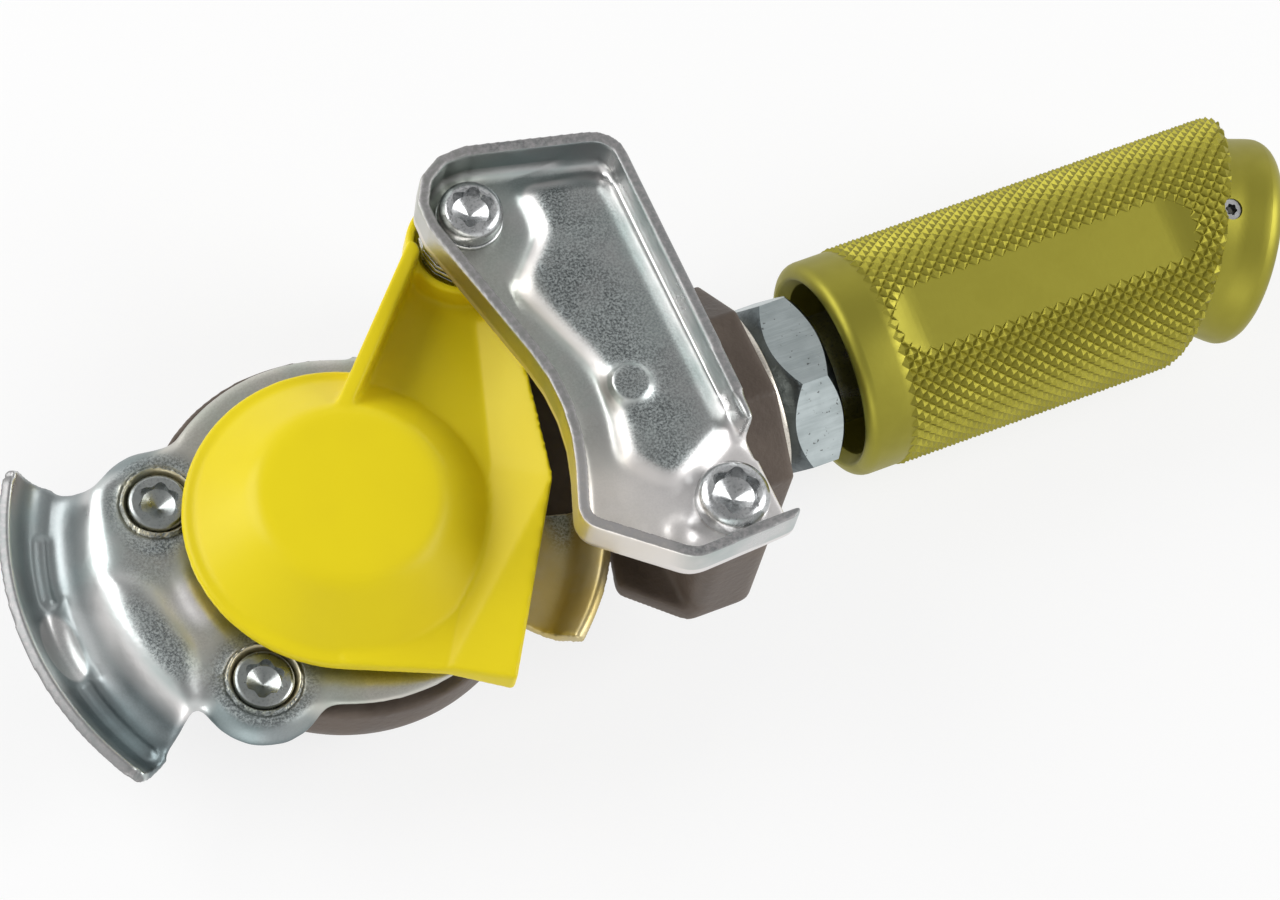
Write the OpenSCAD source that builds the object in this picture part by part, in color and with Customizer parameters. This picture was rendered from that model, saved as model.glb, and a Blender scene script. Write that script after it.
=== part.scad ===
// Air brake coupling head: a die-cast body with a sealing ring, a pressed guide
// plate, a pressed claw plate, a sprung cover that turns on the upper claw screw,
// and a knurled grip with an oblique hose port.
// Millimetres. The sealing face is z = 0, centred on the origin. +Z leaves the
// face, and +X runs along the port to the grip.

/* [Sealing face] */
// Outside diameter of the sealing ring
seal_od = 38; // [36:0.5:40]
// Diameter of the air opening in the sealing ring
seal_id = 20; // [17:0.5:23]
// Height of the sealing ring
seal_h = 6; // [5:0.5:7]
// Diameter of the air passage to the port
passage_d = 9; // [6:0.5:10]

/* [Guide plate] */
// Thickness of both pressed plates
sheet_t = 1.7; // [1.4:0.1:2.2]
// Diameter of the ring round the seal
ring_d = 53.6; // [51:0.2:56]
// Depth of the ring's top below the sealing face
ring_drop = 1.5; // [1:0.1:2.2]
// Outer radius of the lip
lip_r = 47.1; // [45:0.1:49]
// Angle of the lip's middle, seen from +Z
lip_az = 178.5; // [175:0.5:185]
// Half of the angle that the lip spans
lip_half = 32.3; // [29:0.1:33]
// Depth of the dome's top below the sealing face
dome_drop = 0.8; // [0.5:0.1:1.2]
// Depth of the channel below the sealing face
channel_drop = 8; // [6.5:0.25:9.5]
// Depth of the lip's rim below the sealing face
rim_drop = 3.2; // [2:0.1:4.5]
// Radius of the scallops beside the dome
scallop_r = 5.5; // [4.8:0.1:6]
// Outer radius of the hook
hook_r = 37.2; // [36:0.1:38]
// Height of the hook above the sealing face
hook_h = 3; // [1:0.1:4.5]

/* [Guide screws] */
// Radius of the circle that the two guide screws stand on
guide_screw_r = 25.5; // [24.5:0.1:26.5]
// Angles of the two guide screws, seen from +Z
guide_screw_az = [150, 221.5];
// Depth of a guide screw's pocket below the ring
pocket_depth = 2.3; // [2:0.1:2.6]
// Diameter of a guide screw's head
guide_head_d = 8.5; // [7.8:0.1:8.8]
// Height of a guide screw's head
guide_head_h = 2.2; // [1.8:0.1:2.6]
// Thread diameter of a guide screw
guide_thread_d = 5; // [4:0.5:5]
// Length of a guide screw under its head
guide_screw_l = 9; // [8:0.5:12]

/* [Claw plate] */
// Height of the claw plate's underside above the sealing face
claw_z = 11.5; // [10.5:0.1:13]
// Height of the flange, from the plate's underside
flange_h = 8; // [7:0.1:9]
// Radius of the inner edge round the sealing face
claw_inner_r = 29.7; // [29:0.1:31]
// Height of the raised field
field_h = 2.2; // [1.5:0.1:2.6]
// Position of the hinge screw
hinge_at = [31.1, 31];
// Position of the lower claw screw
claw_screw_at = [47.2, -21.4];
// Diameter of the lower claw screw's head
claw_head_d = 10.4; // [9.5:0.1:11]
// Diameter of the hinge screw's head
hinge_head_d = 9.2; // [8.4:0.1:9.6]
// Height of the hinge screw's head
hinge_head_h = 3.2; // [2.6:0.1:4]
// Diameter of the washer under the hinge screw's head
hinge_washer_d = 9.6; // [9.2:0.1:9.8]
// Thickness of the washer under the hinge screw's head
hinge_washer_t = 0.8; // [0.6:0.1:1.5]
// Length of the hinge screw's thread in the body
hinge_screw_grip = 11; // [8:0.5:12]
// Height of a claw screw's head
claw_head_h = 3.8; // [3:0.1:4.5]
// Thread diameter of the claw screws
claw_thread_d = 6; // [5:0.5:6]

/* [Cover] */
// Diameter of the cap's rim
cap_d = 45; // [43:0.2:46]
// Height of the cap's top above the sealing face
cap_h = 9.6; // [8:0.1:10.5]
// Diameter of the cap's flat top
cap_top_d = 26; // [22:0.5:29]
// Wall of the cover
cover_t = 2.2; // [1.8:0.1:2.6]
// Height of the arm's wall above the sealing face
wall_h = 9.2; // [7:0.1:10]
// Height of the raised strip's edge above the sealing face
strip_h = 7.6; // [5:0.1:9]
// Width of the raised strip
strip_w = 8.5; // [6:0.1:10]
// Outside diameter of the hinge barrel
barrel_d = 16; // [15:0.1:16.4]
// Outside diameter of the hinge sleeve
sleeve_d = 8; // [7.6:0.1:9]
// Wire of the cover spring
spring_wire = 1; // [0.8:0.1:1.2]
// Turns of the cover spring
spring_turns = 5; // [4:0.5:6]

/* [Port] */
// Depth of the port's axis below the sealing face
port_drop = 7; // [6:0.1:8]
// Width across the flats of the octagonal boss
boss_af = 32; // [30:0.5:33]
// Distance from the seal's axis to the boss's end
boss_x = 62; // [60:0.5:66]
// Length of the octagonal boss
boss_l = 14.5; // [13:0.5:16]
// Thread diameter of the port and the stud
port_thread_d = 16; // [14:1:18]
// Diameter of the stud's bore
stud_bore_d = 10; // [7:0.5:11]
// Thickness of the washer
washer_t = 1.5; // [1:0.1:2]
// Outside diameter of the washer
washer_d = 27; // [26:0.2:30]
// Width across the flats of the nut
nut_af = 24; // [22:0.5:26]
// Thickness of the nut
nut_t = 9.2; // [8:0.1:10]
// Length of the nut's cone towards the washer
nut_lead = 3.6; // [1.5:0.1:4]
// Turn of the nut about the port's axis
nut_roll = 24.5; // [-30:0.5:30]

/* [Grip] */
// Diameter of the grip over its knurl
grip_d = 32.5; // [31:0.1:34]
// Gap between the nut and the grip's rim
grip_gap = 2; // [1:0.1:4]
// Length from the rim to the middle of the oblique end
grip_l = 60.1; // [56:0.1:66]
// Diameter of the smooth front collar
collar_d = 31.8; // [30.5:0.1:32]
// Length of the smooth front collar
collar_l = 5.6; // [4.5:0.1:7]
// Diameter of the recess in the front
recess_d = 25.4; // [24:0.2:27]
// Depth of the recess in the front
recess_l = 9; // [6:0.5:12]
// Angle of the oblique end
tilt = 29; // [20:1:34]
// Turn of the grip about the port's axis
grip_roll = 21.2; // [-180:0.2:180]
// Turn of the milled field against the oblique end
field_turn = -9; // [-90:0.5:90]
// Distance of the milled field from the axis
field_off = 15; // [14.4:0.05:15.2]
// Length of the milled field
field_l = 46; // [35:0.5:47]
// Diameter of the neck behind the oblique end
neck_d = 28.8; // [27.6:0.1:29.4]
// Diameter of the rounded bead at the rear
bead_d = 30; // [29.4:0.1:30.6]
// Length from the oblique end to the rear face
tail_l = 8.9; // [8:0.1:11]
// Offset of the tail's axis from the grip's axis at the oblique end
tail_off = 1; // [0:0.1:1.2]
// Wall diameter of the hose port
hose_port_d = 14.5; // [13:0.1:15]
// Depth of the hose port
hose_port_l = 12; // [10:0.5:13]

/* [Hidden] */
$fn = 96;

// Clearances
thread_gap = 0.05;
seal_gap = 0.1;
plate_gap = 0.4;
turn_gap = 0.3;
running_gap = 0.05;
head_gap = 0.35;
eps = 0.01;

// Levels
ring_z = -ring_drop;
seat_z = ring_z - sheet_t;
cover_z = 0.4;
lug_z = cover_z - turn_gap;
port_z = -port_drop;
back_z = port_z - grip_d / 2;
floor_z = claw_z + sheet_t;
rim_z = claw_z + flange_h;
passage_roof = 1.8;
passage_z = -seal_h - passage_roof - passage_d / 2;

// Guide plate
hole_r = seal_od / 2 + plate_gap;
ring_r = ring_d / 2;
crease_r = ring_r + 0.1;
dome_in_r = crease_r + 1.9;
dome_out_r = dome_in_r + 5;
channel_in_r = dome_out_r + 4.4;
channel_out_r = lip_r - 4.6;
crease_drop = ring_drop + 0.25;
ear_reach = dome_out_r + 1.4;
scallop_at_r = dome_out_r + 6.6;
scallop_half = lip_half + 9;
dish_w = 2.2;
dish_h = 1.3;
ear_r = 9.4;
hook_from = -52;
hook_to = -17;
hook_bend_r = 4.6;
hook_slope = 50;
rim_slope = 46;
guide_at = [for (a = guide_screw_az) guide_screw_r * [cos(a), sin(a)]];
pocket_r = guide_head_d / 2 + head_gap;
pocket_z = ring_z - pocket_depth;
cup_r = pocket_r + 1.5;
cup_z = pocket_z - sheet_t;

// Claw plate outline as [x, y, corner radius], anticlockwise from the lower tip
claw_outline = [[53.8, -29, 2], [54.4, 34.3, 5], [20.2, 42.3, 8.5], [claw_inner_r + 1.2, -2.3, claw_inner_r],
                [24.3, -19, 3.5], [37.2, -29.9, 5]];
field_outline = [[52.4, -12, 2.5], [52.4, 31, 4], [38.6, 33.6, 2], [39.4, 26, 5], [32, 18.6, 2.5],
                 [38.2, 1.5, 16], [35, -11, 4], [40.4, -18, 4]];
bulge_at = [38.7, -22.9];
bulge_d = 6.4;
open_edge_top = -13.5;
open_edge_low = -27.6;
dimple_at = [41, -1];
dimple_d = 7.6;
fillet = 2.4;
inner_fillet = 1.2;

// Cover, in a frame at the hinge with x along the arm to the cap
arm_l = norm(hinge_at);
arm_az = atan2(-hinge_at[1], -hinge_at[0]);
wall_off = 6.9;
knee = [28.9, 24.3];
tab = [58.2, 30.5];
tab_end = [59.8, 21.4];
barrel_z = claw_z - 5;
spring_r = barrel_d / 2 - 2.1;
spring_well_r = spring_r + spring_wire / 2 + 0.4;
spring_pitch = spring_wire + 0.15;
spring_h = spring_turns * spring_pitch + spring_wire;
spring_well_z = claw_z - turn_gap - spring_h - 0.1;

// Port and grip
boss_back_x = boss_x - boss_l;
washer_x = boss_x;
nut_x = washer_x + washer_t;
grip_x = nut_x + nut_t + grip_gap;
recess_x = grip_x + recess_l;
cut_x = grip_x + grip_l;
stud_in_x = boss_back_x + 1.5;
stud_out_x = recess_x + port_thread_d;
field_x = grip_x + collar_l + 3;
set_screw_d = 3;
set_screw_l = 4.4;
set_screw_x = 0.6;
set_screw_turn = -7;

zinc = "#b9bec0";
brown = "#5a4a42";
yellow = "#e8d31a";
olive = "#a39a2c";
rubber = "#222222";

function unit(v) = v / norm(v);
function left_of(v) = [-v[1], v[0]];
function turned_by(v, a) = [v[0] * cos(a) - v[1] * sin(a), v[0] * sin(a) + v[1] * cos(a)];
function flat(p) = [p[0], p[1]];

// Points of the arc that rounds the corner b between a and c
function corner_arc(a, b, c, r, steps) =
    let (u = unit(b - a), w = unit(c - b), turn = atan2(cross(u, w), u * w))
    let (start = b - u * r * tan(abs(turn) / 2), spoke = -left_of(u) * sign(turn) * r)
    [for (k = [0 : steps]) start - spoke + turned_by(spoke, turn * k / steps)];

// Closed outline through [x, y, radius] corners
function rounded(p, steps = 4) = let (n = len(p))
    [for (i = [0 : n - 1])
        each corner_arc(flat(p[(i + n - 1) % n]), flat(p[i]), flat(p[(i + 1) % n]), p[i][2], steps)];

// The same corners moved inwards by d, for an anticlockwise outline
function inset(p, d) = let (n = len(p))
    [for (i = [0 : n - 1])
        let (u = unit(flat(p[i]) - flat(p[(i + n - 1) % n])), w = unit(flat(p[(i + 1) % n]) - flat(p[i])))
        let (nu = left_of(u), nw = left_of(w), b = flat(p[i]) + d * (nu + nw) / (1 + nu * nw))
        [b[0], b[1], max(p[i][2] + (cross(u, w) > 0 ? -d : d), 0.4)]];

// Open path through [x, y, radius] points, with its inner corners rounded
function bent(p, steps = 3) = let (n = len(p))
    concat([flat(p[0])],
           [for (i = [1 : n - 2]) each corner_arc(flat(p[i - 1]), flat(p[i]), flat(p[i + 1]), p[i][2], steps)],
           [flat(p[n - 1])]);

// The path moved to its left by d
function shifted(path, d) = let (n = len(path))
    [for (i = [0 : n - 1])
        path[i] + d * left_of(unit(path[min(i + 1, n - 1)] - path[max(i - 1, 0)]))];
function backwards(p) = [for (i = [len(p) - 1 : -1 : 0]) p[i]];
function sheet_section(path, t) = concat(path, backwards(shifted(path, -t)));
function ring_at(outline, z) = [for (p = outline) [p[0], p[1], z]];

// Solid through rings of equal length, closed by its first and last ring
module skin(rings) {
    n = len(rings[0]);
    m = len(rings);
    sides = [for (j = [0 : m - 2], i = [0 : n - 1]) let (k = (i + 1) % n)
        each [[j * n + i, (j + 1) * n + i, (j + 1) * n + k], [j * n + i, (j + 1) * n + k, j * n + k]]];
    polyhedron([for (r = rings) each r],
               concat([[for (i = [0 : n - 1]) i]], sides, [[for (i = [n - 1 : -1 : 0]) (m - 1) * n + i]]));
}

// Closed loop of rings, such as a rim: its last ring meets its first
module rim_skin(rings) {
    n = len(rings[0]);
    m = len(rings);
    polyhedron([for (r = rings) each r],
               [for (j = [0 : m - 1], i = [0 : n - 1]) let (k = (i + 1) % n, u = (j + 1) % m)
                   each [[j * n + i, u * n + i, u * n + k], [j * n + i, u * n + k, j * n + k]]]);
}

// Plate with a shaped edge: the profile holds [inset, z], and its two ends stand over each other
module edged_plate(outline, profile) {
    last = profile[len(profile) - 1];
    rim_skin([for (s = profile) ring_at(rounded(inset(outline, s[0])), s[1])]);
    translate([0, 0, profile[0][1]]) linear_extrude(last[1] - profile[0][1])
        polygon(rounded(inset(outline, last[0])));
}

// Revolved about Z between two angles
module swept(section, from, to) {
    rotate([0, 0, from]) rotate_extrude(angle = to - from) polygon(section);
}

// Revolved about the port's axis from [x, radius] points
module turned(p) {
    translate([0, 0, port_z]) rotate([0, 90, 0]) rotate_extrude() polygon([for (q = p) [q[1], q[0]]]);
}

module port_bore(x0, x1, d) {
    translate([x0, 0, port_z]) rotate([0, 90, 0]) cylinder(h = x1 - x0, d = d);
}

// Six-lobe socket with a coned bottom, cut downwards from z = 0
module lobed_socket(d, depth) {
    lobe = [for (k = [0 : 35]) let (a = k * 10) d * (0.445 + 0.055 * cos(6 * a)) * [cos(a), sin(a)]];
    translate([0, 0, -depth]) linear_extrude(depth + eps) polygon(lobe);
    translate([0, 0, -depth - d * 0.2]) cylinder(h = d * 0.2 + eps, d1 = eps, d2 = d * 0.8);
}

// Screw with a domed head, its seat at z = 0
module pan_screw(head_d, head_h, thread_d, length, edge) {
    difference() {
        union() {
            rotate_extrude() polygon(concat([[0, 0]],
                bent([[head_d / 2 - 0.3, 0], [head_d / 2, 0.3, 0.2], [head_d / 2, head_h, edge], [0, head_h]])));
            translate([0, 0, -length]) cylinder(h = length + eps, d = thread_d);
        }
        translate([0, 0, head_h]) lobed_socket(head_d * 0.7, head_h * 0.5);
    }
}

module seal_ring() {
    section = [[seal_id / 2, -seal_h], [seal_od / 2, -seal_h], [seal_od / 2, -1.9], [seal_od / 2 - 1.2, -1.2],
               [seal_od / 2 - 2.4, 0], [seal_id / 2 + 3.2, 0], [seal_id / 2 + 1.4, -1], [seal_id / 2, -3.2]];
    color(rubber) rotate_extrude() polygon(section);
}

module guide_plate() {
    start_r = hole_r + 2;
    core_r = hole_r - 2;
    ring = [[core_r, seat_z], [ring_r, seat_z], [ring_r, ring_z - 0.5], [ring_r - 0.5, ring_z], [core_r, ring_z]];
    lip = bent(concat([[start_r, ring_z], [ring_r - 2.2, ring_z, 3]], [
        [crease_r, -crease_drop, 1], [dome_in_r, -dome_drop, 3], [dome_out_r, -dome_drop, 4],
        [channel_in_r, -channel_drop, 3], [channel_out_r, -channel_drop, 4],
        [lip_r - sheet_t * sin(rim_slope), -rim_drop]]));
    bend_r = hook_r - sheet_t - (hook_h + ring_drop) / tan(hook_slope);
    hook = bent([[start_r, ring_z], [bend_r, ring_z, hook_bend_r], [hook_r - sheet_t * sin(hook_slope), hook_h]]);
    color(zinc) difference() {
        union() {
            rotate_extrude() polygon(ring);
            swept(sheet_section(hook, sheet_t), hook_from, hook_to);
            swept(sheet_section(lip, sheet_t), lip_az - lip_half, lip_az + lip_half);
            for (p = guide_at) translate([p[0], p[1], cup_z]) cylinder(h = ring_z - cup_z, r = cup_r);
            intersection() {
                translate([0, 0, seat_z]) cylinder(h = sheet_t, r = ear_reach);
                for (p = guide_at) translate([p[0], p[1], seat_z]) cylinder(h = sheet_t, r = ear_r);
            }
        }
        translate([0, 0, cup_z - 1]) cylinder(h = 1 - cup_z, r = hole_r);
        for (p = guide_at) translate([p[0], p[1], 0]) {
            translate([0, 0, pocket_z]) cylinder(h = -pocket_z, r = pocket_r);
            translate([0, 0, ring_z - dish_h]) cylinder(h = dish_w, r1 = pocket_r, r2 = pocket_r + dish_w);
            translate([0, 0, cup_z - 1]) cylinder(h = 1 - cup_z, d = guide_thread_d + 0.4);
        }
        for (a = [lip_az - scallop_half, lip_az + scallop_half]) {
            translate([scallop_at_r * cos(a), scallop_at_r * sin(a), -channel_drop * 2])
                cylinder(h = channel_drop * 2, r = scallop_r);
        }
    }
}

module guide_screws() {
    color(zinc) for (p = guide_at) translate([p[0], p[1], pocket_z])
        pan_screw(guide_head_d, guide_head_h, guide_thread_d, guide_screw_l, 0.6);
}

module body() {
    cup_foot_r = ring_r - 6;
    rim_r = ring_r + 0.5;
    lug_l = 13;
    arm_z = lug_z - lug_l;
    pillar_z = port_z + 1;
    slab_t = 3;
    neck_w = 14;
    neck_z = seat_z - turn_gap;
    lug_r = barrel_d / 2 - 1.4;
    arm = [[38, 9, 3], [52, 9, 3], [52, 24, 8], [hinge_at[0] + 4, hinge_at[1] + lug_r, 6],
           [hinge_at[0] - lug_r, hinge_at[1] + lug_r, 7], [hinge_at[0] - lug_r, hinge_at[1] - 5, 6]];
    slab = [[36.6, -9, 1], [33.4, -20.4, 1.5], [41.3, -27.8, 2], [51.6, -27.8, 2.5], [53, -9, 1]];
    pillar = [[41.4, -27.8, 2], [51.6, -27.8, 2.5], [53, -9, 1], [41.4, -9, 1]];
    color(brown) difference() {
        union() {
            rotate_extrude() polygon(concat([[0, back_z]],
                bent([[cup_foot_r - 4, back_z], [cup_foot_r, back_z, 3], [rim_r, -channel_drop - 3, 12],
                      [rim_r, seat_z]]),
                [[0, seat_z]]));
            for (p = guide_at) translate([p[0], p[1], cup_z - guide_screw_l])
                cylinder(h = guide_screw_l, r = cup_r - 2);
            rotate([90, 0, 90]) linear_extrude(boss_back_x + eps)
                polygon([[-neck_w + 3, back_z + 2], [neck_w - 3, back_z + 2], [neck_w, neck_z], [-neck_w, neck_z]]);
            translate([boss_back_x, 0, port_z]) rotate([22.5, 0, 0]) rotate([0, 90, 0])
                cylinder(h = boss_l, d = boss_af / cos(22.5), $fn = 8);
            translate([0, 0, arm_z]) linear_extrude(lug_z - arm_z) polygon(rounded(arm));
            translate([0, 0, pillar_z - slab_t]) linear_extrude(slab_t) polygon(rounded(slab));
            translate([0, 0, pillar_z - slab_t]) linear_extrude(claw_z - pillar_z + slab_t)
                polygon(rounded(pillar));
        }
        translate([0, 0, -seal_h]) cylinder(h = seal_h, r = seal_od / 2 + seal_gap);
        translate([0, 0, passage_z - passage_d / 2]) cylinder(h = -passage_z, d = seal_id - 4);
        translate([0, 0, passage_z]) rotate([0, 90, 0]) cylinder(h = boss_back_x + 4, d = passage_d);
        port_bore(boss_back_x + 1, boss_x + eps, port_thread_d + 2 * thread_gap);
        translate([0, 0, seat_z - 1]) difference() {
            cylinder(h = 2, r = rim_r + 1);
            cylinder(h = 2, r = ring_r - 2.6);
        }
        for (p = guide_at) translate([p[0], p[1], 0]) {
            translate([0, 0, cup_z]) cylinder(h = -cup_z, r = cup_r + seal_gap);
            translate([0, 0, cup_z - guide_screw_l - 1])
                cylinder(h = guide_screw_l + 2, d = guide_thread_d + 2 * thread_gap);
        }
        translate([hinge_at[0], hinge_at[1], arm_z - 1])
            cylinder(h = lug_z - arm_z + 2, d = claw_thread_d + 2 * thread_gap);
        translate([claw_screw_at[0], claw_screw_at[1], pillar_z - slab_t - 1])
            cylinder(h = claw_z - pillar_z + slab_t + 2, d = claw_thread_d + 2 * thread_gap);
    }
}

module claw_plate() {
    soft = fillet * 0.29;
    edge = sheet_t + inner_fillet;
    sunk = sheet_t * 0.4;
    tray = [[edge, claw_z], [fillet, claw_z], [soft, claw_z + soft], [0, claw_z + fillet], [0, rim_z],
            [sheet_t, rim_z], [sheet_t, floor_z + inner_fillet], [edge, floor_z]];
    field = [[3, floor_z - sunk], [-0.4, floor_z - sunk], [-0.4, floor_z], [0.7, floor_z + field_h * 0.55],
             [2.6, floor_z + field_h], [3, floor_z + field_h]];
    color(zinc) difference() {
        union() {
            edged_plate(claw_outline, tray);
            edged_plate(field_outline, field);
            translate([dimple_at[0], dimple_at[1], floor_z + field_h - sunk])
                cylinder(h = sunk + 0.9, d1 = dimple_d, d2 = dimple_d - 2.4);
            translate([bulge_at[0], bulge_at[1], floor_z - sunk])
                cylinder(h = sunk + 1, d1 = bulge_d, d2 = bulge_d - 3.4);
        }
        translate([0, 0, claw_z - 1]) linear_extrude(field_h + 1) polygon(rounded(inset(field_outline, 3.4), 2));
        for (p = [hinge_at, claw_screw_at]) translate([p[0], p[1], claw_z - 1])
            cylinder(h = sheet_t + 2, d = claw_thread_d + 0.4);
        translate([claw_screw_at[0] + 1.5, open_edge_low, floor_z])
            cube([claw_head_d, open_edge_top - open_edge_low, flange_h]);
    }
}

module hinge_washer() {
    color(zinc) translate([hinge_at[0], hinge_at[1], floor_z]) difference() {
        cylinder(h = hinge_washer_t, d = hinge_washer_d);
        translate([0, 0, -1]) cylinder(h = hinge_washer_t + 2, d = claw_thread_d + 0.2);
    }
}

module hinge_screw() {
    color(zinc) translate([hinge_at[0], hinge_at[1], floor_z + hinge_washer_t])
        pan_screw(hinge_head_d, hinge_head_h, claw_thread_d, floor_z + hinge_washer_t - lug_z + hinge_screw_grip,
                  hinge_head_h * 0.5);
}

module hinge_sleeve() {
    color(zinc) translate([hinge_at[0], hinge_at[1], lug_z]) difference() {
        cylinder(h = claw_z - lug_z, d = sleeve_d);
        translate([0, 0, -1]) cylinder(h = claw_z - lug_z + 2, d = claw_thread_d + 0.2);
    }
}

module claw_screw() {
    color(zinc) translate([claw_screw_at[0], claw_screw_at[1], floor_z])
        pan_screw(claw_head_d, claw_head_h, claw_thread_d, floor_z - port_z - 2, claw_head_h * 0.55);
}

// The cover's own frame: origin on the hinge axis, x along the arm
module in_arm() {
    translate([hinge_at[0], hinge_at[1], 0]) rotate([0, 0, arm_az]) children();
}

module cap_shell(outer) {
    rim_t = 1.7;
    d = outer ? 0 : cover_t;
    rotate_extrude() polygon(concat([[0, cover_z - d]],
        outer ? bent([[cap_d / 2, cover_z], [cap_d / 2, cover_z + rim_t, 0.7],
                      [cap_d / 2 - 1.6, cover_z + rim_t, 1.2], [cap_top_d / 2, cap_h, 4], [0, cap_h]])
              : bent([[cap_d / 2 - 3.4, cover_z - d], [cap_d / 2 - 3.6, cover_z + 0.6, 1],
                      [cap_top_d / 2 - 0.6, cap_h - d, 3], [0, cap_h - d]])));
}

module cover() {
    q = tab_end - [arm_l, 0];
    rim_touch = atan2(q[1], q[0]) - acos(cap_d / 2 / norm(q));
    touch = [arm_l, 0] + cap_d / 2 * [cos(rim_touch), sin(rim_touch)];
    neck_side = [2.4, barrel_d / 2 - 0.4];
    wall_from = barrel_d / 4;
    web = [[0, -wall_off, 0.5], [arm_l, -wall_off, 0.5], [touch[0], touch[1], 0.5],
           [tab_end[0], tab_end[1], 1], [tab[0], tab[1], 1], [knee[0], knee[1], 4], [neck_side[0], neck_side[1], 0.5]];
    out = left_of(unit(tab - knee));
    strip = [[neck_side + [3, 2], neck_side + [6, -1.6], 0.55],
             [knee, knee - strip_w * out - [2, 0], 1],
             [tab, tab_end, 0.4]];
    color(yellow) difference() {
        union() {
            cap_shell(true);
            in_arm() {
                translate([0, 0, cover_z]) linear_extrude(cover_t) polygon(rounded(web, 5));
                cylinder(h = barrel_z, d = barrel_d);
                translate([wall_from, -wall_off, cover_z])
                    cube([arm_l - cap_top_d / 2 + 1 - wall_from, cover_t, wall_h - cover_z]);
                skin([for (s = strip) let (z = cover_z + cover_t + (strip_h - cover_z - cover_t) * s[2])
                    [[s[1][0], s[1][1], cover_z + 0.3], [s[0][0], s[0][1], cover_z + 0.3],
                     [s[0][0], s[0][1], z], [s[1][0], s[1][1], cover_z + cover_t + 0.3]]]);
            }
        }
        cap_shell(false);
        in_arm() {
            translate([0, 0, -1]) cylinder(h = cover_z + 1, d = barrel_d + 2);
            translate([0, 0, -1]) cylinder(h = barrel_z + 2, d = sleeve_d + 2 * running_gap);
            translate([0, 0, spring_well_z]) cylinder(h = spring_h + 1, r = spring_well_r);
        }
    }
}

module cover_spring() {
    sides = 6;
    per_turn = 14;
    steps = spring_turns * per_turn;
    color(zinc) translate([hinge_at[0], hinge_at[1], spring_well_z + 0.05 + spring_wire / 2])
        skin([for (k = [0 : steps]) let (a = 360 * k / per_turn, z = spring_pitch * k / per_turn)
            [for (i = [0 : sides - 1]) let (b = 360 * i / sides, r = spring_r - spring_wire / 2 * cos(b))
                [r * cos(a), r * sin(a), z - spring_wire / 2 * sin(b)]]]);
}

module port_washer() {
    color(zinc) difference() {
        port_bore(washer_x, nut_x, washer_d);
        port_bore(washer_x - 1, nut_x + 1, port_thread_d + 0.3);
    }
}

module lock_nut() {
    corner_d = nut_af / cos(30);
    chamfer = 1.9;
    lead_r = corner_d / 2 + 0.1 - nut_lead;
    face_r = nut_af / 2 - 0.3;
    color(zinc) difference() {
        intersection() {
            translate([nut_x, 0, port_z]) rotate([nut_roll, 0, 0]) rotate([0, 90, 0])
                cylinder(h = nut_t, d = corner_d, $fn = 6);
            turned([[nut_x, 0], [nut_x, lead_r], [nut_x + nut_lead, corner_d / 2 + 0.1],
                    [nut_x + nut_t - chamfer, corner_d / 2 + 0.1], [nut_x + nut_t, face_r],
                    [nut_x + nut_t, 0]]);
        }
        port_bore(nut_x - 1, nut_x + nut_t + 1, port_thread_d + 2 * thread_gap);
    }
}

module stud() {
    color(zinc) difference() {
        port_bore(stud_in_x, stud_out_x, port_thread_d);
        port_bore(stud_in_x - 1, stud_out_x + 1, stud_bore_d);
    }
}

module stud_seal() {
    wire_r = 1.3;
    color(rubber) translate([recess_x - wire_r, 0, port_z]) rotate([0, 90, 0])
        rotate_extrude() translate([port_thread_d / 2 + thread_gap + wire_r, 0]) circle(r = wire_r);
}

// The grip's tilted rear end: origin where the port's axis meets the oblique cut
module in_tail() {
    translate([0, 0, port_z]) rotate([grip_roll, 0, 0]) translate([cut_x, 0, 0]) rotate([0, 0, -tilt])
        translate([0, tail_off, 0]) children();
}

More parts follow.
